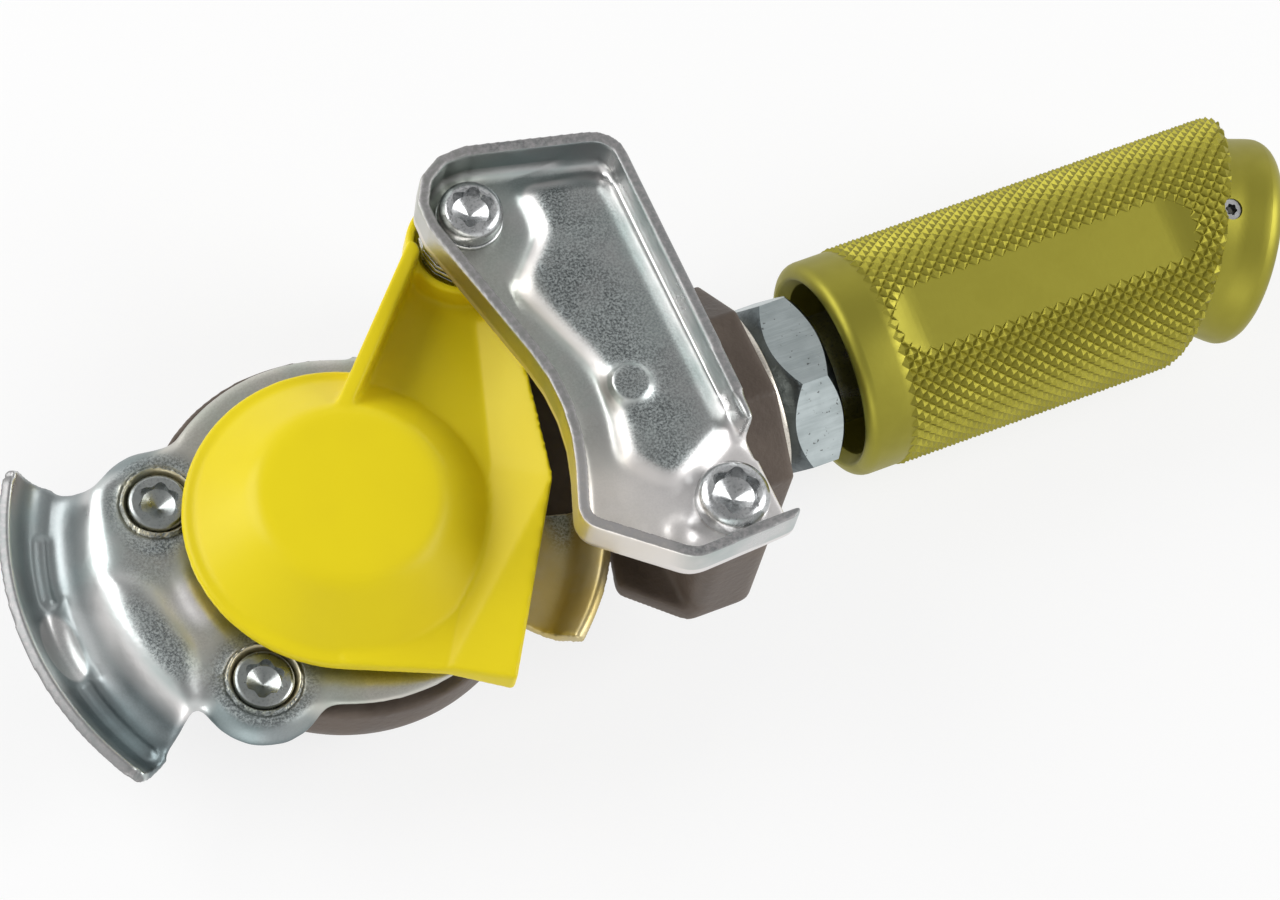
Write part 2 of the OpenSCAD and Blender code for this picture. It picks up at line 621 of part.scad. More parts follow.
module grip() {
    end_x = cut_x + grip_d;
    ramp = 2;
    bead_r = bead_d / 2;
    tail_root = 3.6;
    mouth_r = recess_d / 2 + 1.2;
    mouth_l = 1.6;
    mouth_slope = mouth_r + 1 - recess_d / 2;
    profile = bent([[grip_x, recess_d / 2], [grip_x, collar_d / 2, 1.7], [grip_x + collar_l, collar_d / 2, 1],
                    [grip_x + collar_l + 1, grip_d / 2, 0.4], [end_x, grip_d / 2]]);
    tail = bent([[-tail_root, neck_d / 2], [2.4, neck_d / 2, 5], [tail_l - 2.9, bead_r, 3], [tail_l, bead_r, 2.6],
                 [tail_l, hose_port_d / 2]]);
    color(olive) difference() {
        union() {
            difference() {
                turned(concat([[grip_x, 0]], profile, [[end_x, 0]]));
                in_tail() translate([0, -grip_d, -grip_d]) cube(2 * grip_d);
                translate([0, 0, port_z]) rotate([grip_roll + field_turn, 0, 0]) rotate([90, 0, 0])
                    linear_extrude(grip_d, center = true)
                    polygon([[field_x - ramp, grip_d / 2 + eps], [field_x, field_off],
                             [field_x + field_l, field_off], [field_x + field_l + ramp, grip_d / 2 + eps]]);
            }
            in_tail() rotate([0, 90, 0]) rotate_extrude()
                polygon([for (q = concat([[-tail_root, 0]], tail, [[tail_l, 0]])) [q[1], q[0]]]);
        }
        port_bore(grip_x - 1, recess_x, recess_d);
        turned([[grip_x - 1, 0], [grip_x - 1, mouth_r + 1], [grip_x + mouth_l, mouth_r + 1 - mouth_slope],
                [grip_x + mouth_l, 0]]);
        port_bore(recess_x - 1, stud_out_x + 0.5, port_thread_d + 2 * thread_gap);
        port_bore(stud_out_x - 1, cut_x + 1, stud_bore_d);
        in_tail() {
            translate([tail_l - hose_port_l, 0, 0]) rotate([0, 90, 0]) cylinder(h = hose_port_l + 1, d = hose_port_d);
            rotate([0, 90, 0]) cylinder(h = tail_l, d = stud_bore_d);
            rotate([set_screw_turn, 0, 0]) translate([set_screw_x, 0, 0])
                cylinder(h = grip_d / 2, d = set_screw_d + 2 * thread_gap);
        }
    }
}

module grip_set_screw() {
    color(zinc) in_tail() rotate([set_screw_turn, 0, 0])
        translate([set_screw_x, 0, neck_d / 2 - set_screw_l - 0.3]) difference() {
        cylinder(h = set_screw_l, d = set_screw_d);
        translate([0, 0, set_screw_l]) lobed_socket(set_screw_d * 0.6, 1.4);
    }
}

body();
seal_ring();
guide_plate();
guide_screws();
claw_plate();
hinge_screw();
hinge_washer();
hinge_sleeve();
claw_screw();
cover();
cover_spring();
port_washer();
lock_nut();
stud();
stud_seal();
grip();
grip_set_screw();
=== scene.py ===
import math

import bmesh
import bpy
from mathutils import Matrix, Vector


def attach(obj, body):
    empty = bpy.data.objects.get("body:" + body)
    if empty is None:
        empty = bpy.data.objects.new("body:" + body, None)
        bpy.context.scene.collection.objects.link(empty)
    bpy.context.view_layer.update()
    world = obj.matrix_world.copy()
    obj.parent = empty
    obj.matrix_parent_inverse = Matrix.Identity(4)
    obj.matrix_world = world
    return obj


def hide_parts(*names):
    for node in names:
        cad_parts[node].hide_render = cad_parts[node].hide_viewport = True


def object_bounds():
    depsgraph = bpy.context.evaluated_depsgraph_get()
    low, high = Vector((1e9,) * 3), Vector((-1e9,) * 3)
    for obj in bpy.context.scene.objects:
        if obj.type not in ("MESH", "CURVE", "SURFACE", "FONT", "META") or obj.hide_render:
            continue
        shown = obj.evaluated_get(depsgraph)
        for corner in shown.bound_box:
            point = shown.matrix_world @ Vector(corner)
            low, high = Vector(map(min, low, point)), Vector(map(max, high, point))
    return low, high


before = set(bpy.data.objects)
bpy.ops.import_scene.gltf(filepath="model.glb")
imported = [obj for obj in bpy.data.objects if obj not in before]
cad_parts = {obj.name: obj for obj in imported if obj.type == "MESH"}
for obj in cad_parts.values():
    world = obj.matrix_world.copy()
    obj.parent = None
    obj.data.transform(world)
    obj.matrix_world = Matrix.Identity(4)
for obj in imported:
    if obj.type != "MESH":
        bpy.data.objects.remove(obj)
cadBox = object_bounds()
scene = bpy.context.scene
mm = 0.001
weldGap = 1e-6  # metres, for the loose triangles of a CAD mesh
print("frame loaded:", len(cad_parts), "nodes")

# camera, fitted to the photograph
shot = {"toCamera": (-0.30, -0.345, 0.89), "rollDeg": 19.7, "distance": 0.9,
        "target": (0.0397405, -0.0085390, 0.0100856), "focalPixels": 6552, "imageWidth": 1280,
        "sensorWidth": 36, "clipEnd": 20}

view = Vector(shot["toCamera"]).normalized()
flatX = (Vector((1, 0, 0)) - view * view.x).normalized()
flatY = view.cross(flatX)
roll = math.radians(shot["rollDeg"])
imageRight = flatX * math.cos(roll) - flatY * math.sin(roll)
imageUp = flatX * math.sin(roll) + flatY * math.cos(roll)
target = Vector(shot["target"])


def aimed(place, right, up, back):
    turn = Matrix((right, up, back)).transposed().to_4x4()
    return Matrix.Translation(place) @ turn


lens = bpy.data.cameras.new("photo_camera")
lens.sensor_fit = "HORIZONTAL"
lens.sensor_width = shot["sensorWidth"]
lens.lens = shot["focalPixels"] / shot["imageWidth"] * lens.sensor_width
lens.clip_end = shot["clipEnd"]
camera = bpy.data.objects.new("photo_camera", lens)
scene.collection.objects.link(camera)
camera.matrix_world = aimed(target + view * shot["distance"], imageRight, imageUp, view)
scene.camera = camera

# studio: soft lamps placed by the image's own directions
lamps = {
    "key_lamp": {"right": -0.74, "up": 0.50, "back": 0.42, "size": 0.85, "watts": 7.3},
    "fill_lamp": {"right": 0.92, "up": 0.22, "back": 0.38, "size": 0.7, "watts": 6.0},
    "low_lamp": {"right": -0.25, "up": -0.80, "back": 0.35, "size": 0.6, "watts": 3.0},
}
for name, lamp in lamps.items():
    light = bpy.data.lights.new(name, "AREA")
    light.shape = "DISK"
    light.size = lamp["size"]
    light.energy = lamp["watts"]
    place = target + imageRight * lamp["right"] + imageUp * lamp["up"] + view * lamp["back"]
    back = (place - target).normalized()
    side = imageUp.cross(back).normalized()
    lampObject = bpy.data.objects.new(name, light)
    scene.collection.objects.link(lampObject)
    lampObject.matrix_world = aimed(place, side, back.cross(side), back)
print("camera and lamps placed:", len(lamps), "lamps")


class Wire:
    # one output of a node tree: arithmetic on it adds Math nodes, and node() adds any other kind
    def __init__(self, tree, socket=None):
        self.tree = tree
        self.socket = socket

    def node(self, kind, settings=None, inputs=None, out=0):
        made = self.tree.nodes.new("ShaderNode" + kind)
        for key, value in (settings or {}).items():
            setattr(made, key, value)
        for key, value in (inputs or {}).items():
            if isinstance(value, Wire):
                self.tree.links.new(value.socket, made.inputs[key])
            else:
                made.inputs[key].default_value = value
        return Wire(self.tree, made.outputs[out])

    def other(self, out):
        # another output of the same node
        return Wire(self.tree, self.socket.node.outputs[out])

    def axes(self):
        split = self.node("SeparateXYZ", None, {0: self})
        return [split.other(i) for i in range(3)]

    def maths(self, operation, a, b=0.0):
        return self.node("Math", {"operation": operation}, {0: a, 1: b})

    def root(self):
        return self.maths("SQRT", self)

    def unsigned(self):
        return self.maths("ABSOLUTE", self)

    def clamped(self):
        return self.node("Clamp", None, {0: self})

    def smooth(self, low, high):
        # 0 below low, 1 above high
        return self.node("MapRange", {"interpolation_type": "SMOOTHSTEP"},
                         {0: self, 1: low, 2: high, 3: 0.0, 4: 1.0})

    def fade(self, low, high):
        # 1 below low, 0 above high
        return 1 - self.smooth(low, high)

    def blend(self, a, b):
        # colour a where this is 0, colour b where it is 1
        return self.node("Mix", {"data_type": "RGBA"}, {0: self, 6: a, 7: b}, out=2)

    def __add__(self, other):
        return self.maths("ADD", self, other)

    def __radd__(self, other):
        return self.maths("ADD", other, self)

    def __sub__(self, other):
        return self.maths("SUBTRACT", self, other)

    def __rsub__(self, other):
        return self.maths("SUBTRACT", other, self)

    def __mul__(self, other):
        return self.maths("MULTIPLY", self, other)

    def __rmul__(self, other):
        return self.maths("MULTIPLY", other, self)

    def __truediv__(self, other):
        return self.maths("DIVIDE", self, other)


def rgb(r, g, b):
    return (r, g, b, 1.0)


def newFinish(name, constants):
    # a material with its shader, and the object coordinates that its pattern starts from
    finish = bpy.data.materials.new(name)
    finish.use_nodes = True
    shader = next(n for n in finish.node_tree.nodes if n.type == "BSDF_PRINCIPLED")
    for key, value in constants.items():
        shader.inputs[key].default_value = value
    place = Wire(finish.node_tree).node("TexCoord", out="Object")
    return finish, shader, place


def feed(shader, wires):
    for key, wire in wires.items():
        wire.tree.links.new(wire.socket, shader.inputs[key])


def facing(wire):
    # x, y and z of the surface's own direction
    return wire.node("TexCoord", out="Normal").axes()


def grain(place, scale, detail=3.0, rough=0.55, stretch=None):
    spot = place.node("Mapping", None, {0: place, 3: stretch}) if stretch else place
    return place.node("TexNoise", None, {"Vector": spot, "Scale": scale, "Detail": detail,
                                         "Roughness": rough})


def bumped(height, strength, distance):
    return height.node("Bump", None, {"Strength": strength, "Distance": distance, "Height": height})


def castPaint():
    finish, shader, place = newFinish("brown_cast_paint", {"Metallic": 0.0, "Specular IOR Level": 0.35})
    cloud = grain(place, 90.0).smooth(0.35, 0.7)
    pits = grain(place, 900.0, 2.0)
    feed(shader, {"Base Color": cloud.blend(rgb(0.100, 0.076, 0.060), rgb(0.145, 0.114, 0.092)),
                  "Roughness": 0.46 + cloud * 0.16,
                  "Normal": bumped(pits, 0.35, 0.0003)})
    return finish


# tones of the plated sheet, with those of its painted shade and painted highlights
zincTones = {
    "bright": rgb(0.585, 0.59, 0.585), "clouded": rgb(0.455, 0.505, 0.495), "paleHighlight": rgb(0.80, 0.775, 0.765),
    "grime": rgb(0.22, 0.225, 0.225), "stainAndReflection": rgb(0.53, 0.425, 0.18),
    "slateDark": rgb(0.083, 0.12, 0.13), "slateLight": rgb(0.16, 0.21, 0.222),
    "filmAndShadeDark": rgb(0.095, 0.105, 0.107), "filmAndShadeLight": rgb(0.43, 0.465, 0.46),
    "cutDark": rgb(0.16, 0.158, 0.16), "cutLight": rgb(0.31, 0.302, 0.302),
}


def zincPlate(name, masks):
    # bright zinc, with a dark mottled oxide film that deepens where the sheet faces up as painted shade,
    # slate painted shade in the hollows, pale painted highlights, stains with a painted reflection of the
    # yellow cover on the hook, and cut edges
    finish, shader, place = newFinish(name, {"Metallic": 1.0})
    tone = zincTones
    flatness = facing(place)[2].smooth(0.79, 0.965)
    cloud = grain(place, 110.0, 4.0).smooth(0.36, 0.66)
    patch = grain(place, 150.0, 3.0).smooth(0.34, 0.60)
    fleck = grain(place, 3000.0, 4.0, 0.75).smooth(0.36, 0.66)
    lines = grain(place, 1500.0, 3.0, 0.6, (1.0, 1.0, 0.15)).smooth(0.3, 0.7)
    spot = [axis / mm for axis in place.axes()]
    filmAndShade, hollowShade, stainAndReflection, shorn, paleHighlight = (mask.clamped() for mask in masks(*spot))
    # the mottled film is partly real oxide and partly painted shade: it is laid only where the sheet faces up
    filmAndShade = (filmAndShade * flatness * (0.72 + patch * 0.28)).clamped()
    # pale: painted highlight, a light pinkish zinc laid over the bright tones
    bright = paleHighlight.blend(cloud.blend(tone["bright"], tone["clouded"]), tone["paleHighlight"])
    grimy = (fleck * flatness * (0.28 - paleHighlight * 0.2)).clamped().blend(bright, tone["grime"])
    # stain colour: real stains, and on the guide's hook a painted reflection of the yellow cover
    tinted = (stainAndReflection * (0.8 + patch * 0.2)).clamped().blend(grimy, tone["stainAndReflection"])
    # slate tones for the painted shade in the channel, on the ears and on the claw's wall
    slate = (cloud * 0.6 + fleck * 0.4).clamped().blend(tone["slateDark"], tone["slateLight"])
    mottled = fleck.blend(tone["filmAndShadeDark"], tone["filmAndShadeLight"])
    skin = filmAndShade.blend((hollowShade * 0.85).blend(tinted, slate), mottled)
    cut = lines.blend(tone["cutDark"], tone["cutLight"])
    worn = filmAndShade * 0.12 + hollowShade * 0.15 + stainAndReflection * 0.15 + shorn * 0.2 + paleHighlight * 0.08
    feed(shader, {"Base Color": (shorn * (0.7 + lines * 0.3)).blend(skin, cut),
                  "Roughness": (0.27 + cloud * 0.08 + worn).clamped(),
                  "Normal": bumped(grain(place, 420.0, 4.0), 0.10, 0.0005)})
    return finish


def plainZinc(name, light, grey, rough, fleckAmount):
    finish, shader, place = newFinish(name, {"Metallic": 1.0})
    cloud = grain(place, 260.0, 3.0).smooth(0.4, 0.65)
    fleck = grain(place, 2600.0, 2.0, 0.6).smooth(0.52, 0.66)
    feed(shader, {"Base Color": (fleck * fleckAmount).blend(cloud.blend(light, grey), rgb(0.10, 0.10, 0.10)),
                  "Roughness": rough + cloud * 0.08,
                  "Normal": bumped(grain(place, 600.0), 0.06, 0.0004)})
    return finish


def brushedNut():
    # drawn hexagon bar: fine lines along the flats, the turned chamfers painted dark as shade
    finish, shader, place = newFinish("zinc_nut", {"Metallic": 1.0})
    chamferShade = facing(place)[0].unsigned().smooth(0.25, 0.55)
    lines = grain(place, 900.0, 3.0, 0.6, (0.12, 1.0, 1.0)).smooth(0.35, 0.68)
    cloud = grain(place, 240.0, 3.0).smooth(0.4, 0.65)
    pits = grain(place, 1400.0, 2.0).smooth(0.66, 0.72)
    flats = (lines * 0.6 + cloud * 0.4).clamped().blend(rgb(0.52, 0.58, 0.585), rgb(0.38, 0.43, 0.435))
    pitted = (pits * 0.8).blend(flats, rgb(0.09, 0.09, 0.09))
    # chamfer: both chamfers painted dark as shade
    feed(shader, {"Base Color": chamferShade.blend(pitted, rgb(0.125, 0.145, 0.15)),
                  "Roughness": 0.30 + lines * 0.10,
                  "Normal": bumped(lines, 0.08, 0.0004)})
    return finish


def yellowMoulding():
    finish, shader, place = newFinish("yellow_moulding", {"Metallic": 0.0, "Specular IOR Level": 0.2})
    cloud = grain(place, 40.0).smooth(0.35, 0.7)
    feed(shader, {"Base Color": cloud.blend(rgb(0.82, 0.665, 0.012), rgb(0.79, 0.63, 0.012)),
                  "Roughness": 0.32 + cloud * 0.08,
                  "Normal": bumped(grain(place, 700.0), 0.05, 0.0003)})
    return finish


def oliveAnodised():
    finish, shader, place = newFinish("olive_anodised", {"Metallic": 1.0})
    cloud = grain(place, 120.0).smooth(0.35, 0.7)
    feed(shader, {"Base Color": cloud.blend(rgb(0.312, 0.284, 0.043), rgb(0.280, 0.255, 0.038)),
                  "Roughness": 0.43 + cloud * 0.06,
                  "Normal": bumped(grain(place, 1600.0), 0.06, 0.0002)})
    return finish


def sealRubber():
    black = rgb(0.018, 0.018, 0.018)
    finish, shader, place = newFinish("seal_rubber", {"Metallic": 0.0, "Base Color": black})
    feed(shader, {"Roughness": 0.5 + grain(place, 300.0) * 0.15})
    return finish


def radius(x, y):
    return (x * x + y * y).root()


def near(x, y, middle, band):
    # 1 round a point, fading over a band of distances from it
    return radius(x - middle[0], y - middle[1]).fade(*band)


# forms struck into the guide plate, in millimetres and in degrees from the lip's middle
guidePress = {
    "lipAz": 178.5, "lipHalf": 32.3, "screws": [(-22.08, 12.75), (-19.10, -16.90)],
    "beads": [(-20, -8), (11.5, 29)], "beadR": 41.0, "beadH": 0.7, "beadReach": 1.6,
    "dent": (41.6, 2.2), "dentHalf": (2.8, 5.7), "dentDepth": 1.1,
    # the pad's sides start at so many degrees, and fan out by so many for each millimetre
    "padUpper": (-1.5, -1.07), "padLower": (21.0, 1.5), "padSideEdge": 4.189,
    "padR": (27.5, 35.0), "padH": 0.35, "padEdge": 4.0, "domeR": (27.8, 36.0), "domeH": 0.6,
    "swellR": 23.6, "swellH": 0.5, "swellReach": 2.3, "swellEdgeDeg": 10.0,
    "pocket": (4.15, 5.7), "pocketZ": (-4.3, -2.2), "pocketEdge": 0.6, "pocketLift": 1.1,
    "earSideDeg": (-1.5, 3.0), "earR": (25.5, 29.5), "earAway": (6.4, 10.0), "earReach": 10.4, "earDrop": 2.6,
    "rim": (47.2, -3.2), "rimSlopeDeg": 55.0, "rimFrom": 43.0, "cornerR": 2.6,
    "meltR": (20.8, 40.0), "meltToX": 12.0, "meltByDentR": 38.6, "meltByDentY": 6.5,
}

# wear, stains, painted shade and painted highlights on the guide plate, in millimetres: a pair is a place, a
# half size or the band over which a mask turns
guideWearAndPaintedLight = {
    "screwFilmAndShade": (6.0, 9.4), "pocketStain": (5.0, 6.2),
    "earEdge": (0.0, 3.0), "earR": (26.5, 29.0), "earX": (0.0, 10.0),
    "padMiddle": (31.8, -6.5), "padHalf": (4.255, 8.696), "padEdge": (0.5, 1.2),
    "shoulder": (-27.2, 4.5), "shoulderEdge": (2.0, 6.0), "dentEdge": (0.85, 1.0),
    "crestInner": (33.8, 35.5), "crestOuter": (37.8, 39.6), "crestX": (-24.0, -18.0), "crestY": (2.0, 9.0),
    "crescent": (-22.6, -3.2), "crescentEdge": (2.0, 5.2),
    "channelZ": (-6.2, -3.2), "channelR": (44.2, 45.6), "channelY": (-12.0, -3.0),
    "hookX": (14.0, 19.0), "hookY": (-12.0, -4.0), "seatR": (26.0, 33.0),
    "shornR": (45.6, 46.0), "shornX": (-20.0, -10.0),
    "amount": {"screws": 0.9, "shoulder": 0.55, "upperChannel": 0.32, "dentLessShade": 0.8, "ears": 0.75,
               "seat": 0.2, "pockets": 0.45, "dentPale": 0.4, "crescent": 0.9},
}


def guideMasks(x, y, z):
    g, w, amount = guidePress, guideWearAndPaintedLight, guideWearAndPaintedLight["amount"]
    r = radius(x, y)
    screws = sum(near(x, y, p, w["screwFilmAndShade"]) for p in g["screws"])
    pockets = sum(near(x, y, p, w["pocketStain"]) for p in g["screws"])
    # the ears lie beyond the lip's two ends
    pastUpperEnd = y + x * math.tan(math.radians(g["lipHalf"] - g["lipAz"]))
    pastLowerEnd = x * math.tan(math.radians(g["lipHalf"] + g["lipAz"])) - y
    beside = pastUpperEnd.smooth(*w["earEdge"]) + pastLowerEnd.smooth(*w["earEdge"])
    ears = beside * r.smooth(*w["earR"]) * x.fade(*w["earX"])
    padR, padY = w["padMiddle"]
    pad = radius((r - padR) / w["padHalf"][0], (y - padY) / w["padHalf"][1]).fade(*w["padEdge"])
    shoulder = near(x, y, w["shoulder"], w["shoulderEdge"])
    dentR, dentOff = g["dent"]
    dentY = dentR * math.sin(math.radians(g["lipAz"] + dentOff))
    dent = radius((r - dentR) / g["dentHalf"][0], (y - dentY) / g["dentHalf"][1]).fade(*w["dentEdge"])
    # crest: painted highlight along the dome's shoulder
    crest = r.smooth(*w["crestInner"]) * r.fade(*w["crestOuter"])
    crest = crest * y.fade(*w["crestY"]) * x.fade(*w["crestX"])
    crescent = near(x, y, w["crescent"], w["crescentEdge"])
    # painted shade in the lip's channel, lighter towards its upper end
    channel = z.fade(*w["channelZ"]) * r.fade(*w["channelR"])
    channel = channel * (1 - y.smooth(*w["channelY"]) * amount["upperChannel"])
    # hook: painted reflection of the yellow cover, as a yellow-brown tint
    hookReflection = x.smooth(*w["hookX"]) * y.fade(*w["hookY"])
    seat = r.fade(*w["seatR"]) * (1 - crescent)
    # film: dark mottled oxide round the screws, on the pad and the shoulder, deepened in zincPlate as painted
    # shade where the sheet faces up
    filmAndShade = screws * amount["screws"] + pad + shoulder * amount["shoulder"]
    # hollow: painted shade in the channel, less of it on the dent, and on the bent-down ears
    hollowShade = channel * (1 - dent * amount["dentLessShade"]) + ears * amount["ears"]
    # stain: the hook's painted reflection of the cover, with stains on the seat and round the pockets
    stainAndReflection = hookReflection + seat * amount["seat"] + pockets * amount["pockets"]
    shorn = r.smooth(*w["shornR"]) * x.fade(*w["shornX"])
    # pale: painted highlight on the dent, the crest and the crescent by the cap
    paleHighlight = dent * amount["dentPale"] + crest + crescent * amount["crescent"]
    return filmAndShade, hollowShade, stainAndReflection, shorn, paleHighlight


# wear, stains, painted shade and painted highlights on the claw plate, in millimetres: each pair is the band
# over which a mask turns
clawWearAndPaintedLight = {
    "fieldX": (34.0, 37.0), "fieldZ": (14.3, 15.2), "brightX": (43.0, 51.0), "lowerY": (-14.0, -4.0),
    "wallFacing": (-0.60, -0.30), "wallY": (29.0, 31.0), "wallZ": (13.5, 14.2), "stainX": (30.0, 42.0),
    "shornZ": (18.9, 19.3), "shornFacing": (0.5, 0.8),
    "slopeFoot": (13.7, 14.2), "slopeTop": (14.9, 15.3), "slopeX": (45.0, 48.0), "sideX": (46.0, 49.0),
    "amount": {"bright": 0.5, "floor": 0.35, "wall": 0.6, "stainAndReflection": 0.18, "side": 0.5},
}


def clawMasks(x, y, z):
    w, amount = clawWearAndPaintedLight, clawWearAndPaintedLight["amount"]
    towards = facing(x)
    field = z.smooth(*w["fieldZ"]) * x.smooth(*w["fieldX"])
    lower = y.fade(*w["lowerY"])
    slope = z.smooth(*w["slopeFoot"]) * z.fade(*w["slopeTop"]) * x.fade(*w["slopeX"])
    # painted shade on the flange's wall that faces towards minus y
    wall = towards[1].fade(*w["wallFacing"]) * y.smooth(*w["wallY"]) * z.smooth(*w["wallZ"])
    floor = (1 - field) * (1 - lower)
    # film: dark mottled oxide on the field and the floor, deepened in zincPlate as painted shade where the
    # sheet faces up
    filmAndShade = field * (1 - x.smooth(*w["brightX"]) * amount["bright"]) + floor * amount["floor"]
    stainAndReflection = x.fade(*w["stainX"]) * amount["stainAndReflection"]
    shorn = z.smooth(*w["shornZ"]) * towards[2].smooth(*w["shornFacing"])
    # pale: painted highlight on the lower floor, the side by the flange and the field's left slope
    paleHighlight = (1 - field) * (lower + x.smooth(*w["sideX"]) * amount["side"]) + slope
    return filmAndShade, wall * amount["wall"], stainAndReflection, shorn, paleHighlight


finishes = {
    "cast": castPaint(),
    "guide": zincPlate("zinc_guide_plate", guideMasks),
    "claw": zincPlate("zinc_claw_plate", clawMasks),
    "screw": plainZinc("zinc_screws", rgb(0.56, 0.57, 0.575), rgb(0.40, 0.41, 0.415), 0.20, 0.35),
    "darkScrew": plainZinc("grey_guide_screws", rgb(0.40, 0.42, 0.41), rgb(0.28, 0.30, 0.295), 0.26, 0.3),
    "dull": plainZinc("set_screw_steel", rgb(0.24, 0.24, 0.24), rgb(0.16, 0.16, 0.16), 0.36, 0.3),
    "washer": plainZinc("port_washer_zinc", rgb(0.66, 0.62, 0.55), rgb(0.55, 0.51, 0.45), 0.28, 0.3),
    "nut": brushedNut(),
    "cover": yellowMoulding(),
    "grip": oliveAnodised(),
    "rubber": sealRubber(),
}
print("finishes made:", len(finishes))


def dress(piece, finish):
    piece.data.materials.clear()
    piece.data.materials.append(finish)


def newPiece(name, bm, finish):
    mesh = bpy.data.meshes.new(name)
    bm.to_mesh(mesh)
    bm.free()
    piece = bpy.data.objects.new(name, mesh)
    scene.collection.objects.link(piece)
    dress(piece, finish)
    return piece


def bakeModifiers(piece):
    # the piece's mesh as its modifiers leave it
    bpy.context.view_layer.update()
    mesh = bpy.data.meshes.new_from_object(piece.evaluated_get(bpy.context.evaluated_depsgraph_get()))
    piece.modifiers.clear()
    piece.data = mesh


def hump(distance, reach):
    # 1 in the middle, falling softly to 0 at the reach
    t = min(1.0, distance / reach)
    return (1 - t * t) ** 2


def eased(value, low, high):
    t = min(1.0, max(0.0, (value - low) / (high - low)))
    return t * t * (3 - 2 * t)


def plateau(value, low, high, edge):
    # 1 between low and high, with soft edges
    return eased(value, low - edge / 2, low + edge / 2) * (1 - eased(value, high - edge / 2, high + edge / 2))


def within(value, band):
    return band[0] < value < band[1]


def screwDistance(g, x, y):
    return min(math.hypot(x - p[0], y - p[1]) for p in g["screws"])


def struckChannel(g, r, off):
    # the two beads, and the oval dent with its sharp rim
    arc = math.radians(r)  # length of one degree
    rise = 0.0
    for first, last in g["beads"]:
        away = math.hypot(max(first - off, off - last, 0) * arc, r - g["beadR"])
        rise += g["beadH"] * hump(away, g["beadReach"])
    dentR, dentOff = g["dent"]
    scoop = math.hypot((r - dentR) / g["dentHalf"][0], (off - dentOff) * arc / g["dentHalf"][1])
    return rise - g["dentDepth"] * max(0.0, 1 - scoop * scoop)


def struckPad(g, r, off):
    # pillow between the screws with its sides fanning outwards, low ground beside it, and a swell inside it
    inner, outer = g["padR"]
    upper, lower = (start + fan * (r - inner) for start, fan in (g["padUpper"], g["padLower"]))
    across = plateau(off, upper, lower, math.degrees(g["padSideEdge"] / r))
    rise = g["padH"] * across * plateau(r, inner, outer, g["padEdge"])
    if abs(off) < g["lipHalf"]:
        rise -= g["domeH"] * (1 - across) * plateau(r, *g["domeR"], g["padEdge"])
    between = plateau(off, g["padUpper"][0], g["padLower"][0], g["swellEdgeDeg"])
    return rise + between * g["swellH"] * hump(abs(r - g["swellR"]), g["swellReach"])


def struckEars(g, x, y, z, r, off):
    # the pockets' floors lifted round the screw heads, and the outer ground of both ears bent down
    away = screwDistance(g, x, y)
    rise = 0.0
    if within(away, g["pocket"]) and within(z, g["pocketZ"]):
        rise += g["pocketLift"] * (1 - eased(away, g["pocket"][1] - g["pocketEdge"], g["pocket"][1]))
    beside = eased(abs(off) - g["lipHalf"], *g["earSideDeg"])
    if beside > 0 and away < g["earReach"]:
        rise -= g["earDrop"] * beside * eased(r, *g["earR"]) * eased(away, *g["earAway"])
    return rise


def cornerRound(g, r, off, z):
    # the lip's two upper corners turned to a radius, along the rim and down the slope of the sheet
    slope = math.radians(g["rimSlopeDeg"])
    down = Vector((math.cos(slope), math.sin(slope)))
    along = (g["lipHalf"] - abs(off)) * math.radians(r)
    below = (Vector(g["rim"]) - Vector((r, z))).dot(down)
    left = [max(0.0, g["cornerR"] - d) for d in (along, below)]
    if min(left) == 0 or r < g["rimFrom"]:
        return Vector((0, 0, 0))
    pull = 1 - max(left) / math.hypot(*left)
    az = math.radians(off + g["lipAz"])
    spoke = Vector((math.cos(az), math.sin(az), 0))
    around = Vector((-math.sin(az), math.cos(az), 0)) * (-1 if off > 0 else 1)
    return (around * left[0] - spoke * left[1] * down.x - Vector((0, 0, left[1] * down.y))) * pull * mm


def guideStrike(co):
    g = guidePress
    x, y, z = (c / mm for c in co)
    r = math.hypot(x, y)
    off = math.degrees(math.atan2(y, x)) % 360 - g["lipAz"]
    rise = struckChannel(g, r, off) + struckPad(g, r, off) + struckEars(g, x, y, z, r, off)
    return Vector((0, 0, rise * mm)) + cornerRound(g, r, off, z)


def guideMelt(co):
    # the whole pressing round the face, clear of the screw pockets, the dent, the lip and the hook
    g = guidePress
    x, y = co.x / mm, co.y / mm
    inner, outer = g["meltR"]
    if abs(y) < g["meltByDentY"]:
        outer = g["meltByDentR"]
    return screwDistance(g, x, y) > g["pocket"][1] and inner < math.hypot(x, y) < outer and x < g["meltToX"]


# where the claw plate's forms run soft, in millimetres
clawPress = {"floorZ": 12.4, "fieldTopZ": 16.0, "fieldX": (32.0, 51.4), "fieldY": (-20.0, 34.5),
             "bulge": (38.7, -22.9), "bulgeR": 4.2, "endX": 50.5, "endY": (-17.0, -9.0)}


def clawMelt(co):
    # the slopes of the raised field, the small bulge and the flange's cut end
    g = clawPress
    x, y, z = (c / mm for c in co)
    field = z < g["fieldTopZ"] and within(x, g["fieldX"]) and within(y, g["fieldY"])
    bulge = math.hypot(x - g["bulge"][0], y - g["bulge"][1]) < g["bulgeR"]
    flangeEnd = x > g["endX"] and within(y, g["endY"])
    return z > g["floorZ"] and (field or bulge or flangeEnd)


pressings = {"guide_plate": {"melt": guideMelt, "rounds": 60, "strike": guideStrike, "roundsAfter": 15},
             "claw_plate": {"melt": clawMelt, "rounds": 45}}


